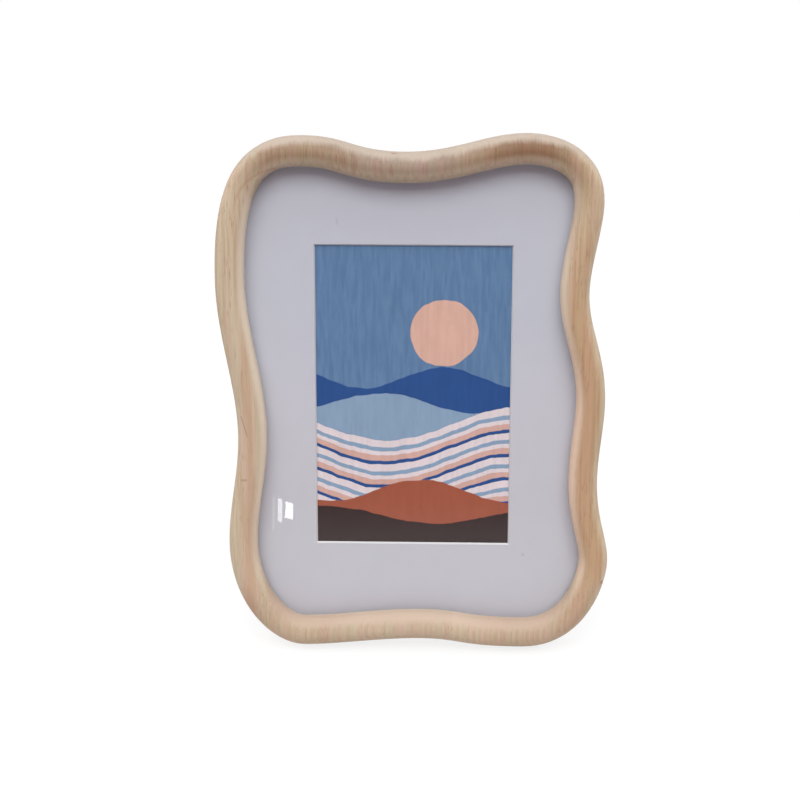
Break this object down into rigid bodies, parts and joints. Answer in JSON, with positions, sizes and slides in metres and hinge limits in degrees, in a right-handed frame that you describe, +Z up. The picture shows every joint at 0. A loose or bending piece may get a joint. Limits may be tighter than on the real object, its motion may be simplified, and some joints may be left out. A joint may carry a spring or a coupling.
{
  "type": "photo frame",
  "caption": "Free-standing wooden photo frame with a wavy half-round moulding, glass, window mat and print, a backing board held by turn buttons, an easel strut and a hanging ring.",
  "frame": {"origin": "middle of the part's box on the table it stands on", "axes": "+Z up, -Y the side that the picture faces, +X to the right seen from the front"},
  "size_m": [0.18, 0.1024, 0.2359],
  "materials": {
    "pale_wood": "bare sanded wood with upright grain",
    "clear_glass": "clear and glossy",
    "mat_card": "lavender grey paper face with a white core at the bevel",
    "print_paper": "satin print of a plain landscape",
    "paper_tape": "matt gummed paper",
    "fibreboard": "smooth brown fibreboard",
    "zinc_steel": "zinc plated sheet",
    "brassed_steel": "brass plated"
  },
  "bodies": {
    "frame": {"frame_moulding": "pale_wood", "glass_pane": "clear_glass", "mat_board": "mat_card", "photo_print": "print_paper", "print_tape_left": "paper_tape", "print_tape_right": "paper_tape", "back_board": "fibreboard", "turn_button_screw_left_upper": "brassed_steel", "turn_button_screw_left_middle": "brassed_steel", "turn_button_screw_left_lower": "brassed_steel", "turn_button_screw_right_upper": "brassed_steel", "turn_button_screw_right_middle": "brassed_steel", "turn_button_screw_right_lower": "brassed_steel", "hinge_plate": "zinc_steel", "hinge_pin": "brassed_steel", "hinge_plate_rivet_left": "brassed_steel", "hinge_plate_rivet_right": "brassed_steel", "hanger_strap": "brassed_steel", "hanger_rivet": "brassed_steel"},
    "strut": {"easel_strut": "fibreboard", "hinge_leaf": "zinc_steel", "hinge_leaf_rivet_left": "brassed_steel", "hinge_leaf_rivet_right": "brassed_steel"},
    "ring": {"hanger_ring": "brassed_steel"},
    "button_left_upper": {"turn_button_left_upper": "zinc_steel"},
    "button_left_middle": {"turn_button_left_middle": "zinc_steel"},
    "button_left_lower": {"turn_button_left_lower": "zinc_steel"},
    "button_right_upper": {"turn_button_right_upper": "zinc_steel"},
    "button_right_middle": {"turn_button_right_middle": "zinc_steel"},
    "button_right_lower": {"turn_button_right_lower": "zinc_steel"}
  },
  "joints": [
    {"name": "strut_fold", "type": "hinge", "parent": "frame", "child": "strut", "pos_m": [0, 0.00085, 0.15108], "axis": [1, 0, 0], "range_deg": [-30, 0]},
    {"name": "ring_swing", "type": "hinge", "parent": "frame", "child": "ring", "pos_m": [0, 0.01195, 0.20955], "axis": [1, 0, 0], "range_deg": [-4, 170]},
    {"name": "turn_left_upper", "type": "hinge", "parent": "frame", "child": "button_left_upper", "pos_m": [-0.0845, 0.00167, 0.17033], "axis": [0, 0.9781, -0.2079], "continuous": true},
    {"name": "turn_left_middle", "type": "hinge", "parent": "frame", "child": "button_left_middle", "pos_m": [-0.0756, -0.01345, 0.09922], "axis": [0, 0.9781, -0.2079], "continuous": true},
    {"name": "turn_left_lower", "type": "hinge", "parent": "frame", "child": "button_left_lower", "pos_m": [-0.0807, -0.02428, 0.04826], "axis": [0, 0.9781, -0.2079], "continuous": true},
    {"name": "turn_right_upper", "type": "hinge", "parent": "frame", "child": "button_right_upper", "pos_m": [0.0783, 0.0089, 0.20437], "axis": [0, 0.9781, -0.2079], "continuous": true},
    {"name": "turn_right_middle", "type": "hinge", "parent": "frame", "child": "button_right_middle", "pos_m": [0.0813, -0.00998, 0.11555], "axis": [0, 0.9781, -0.2079], "continuous": true},
    {"name": "turn_right_lower", "type": "hinge", "parent": "frame", "child": "button_right_lower", "pos_m": [0.0845, -0.02567, 0.0417], "axis": [0, 0.9781, -0.2079], "continuous": true}
  ]
}
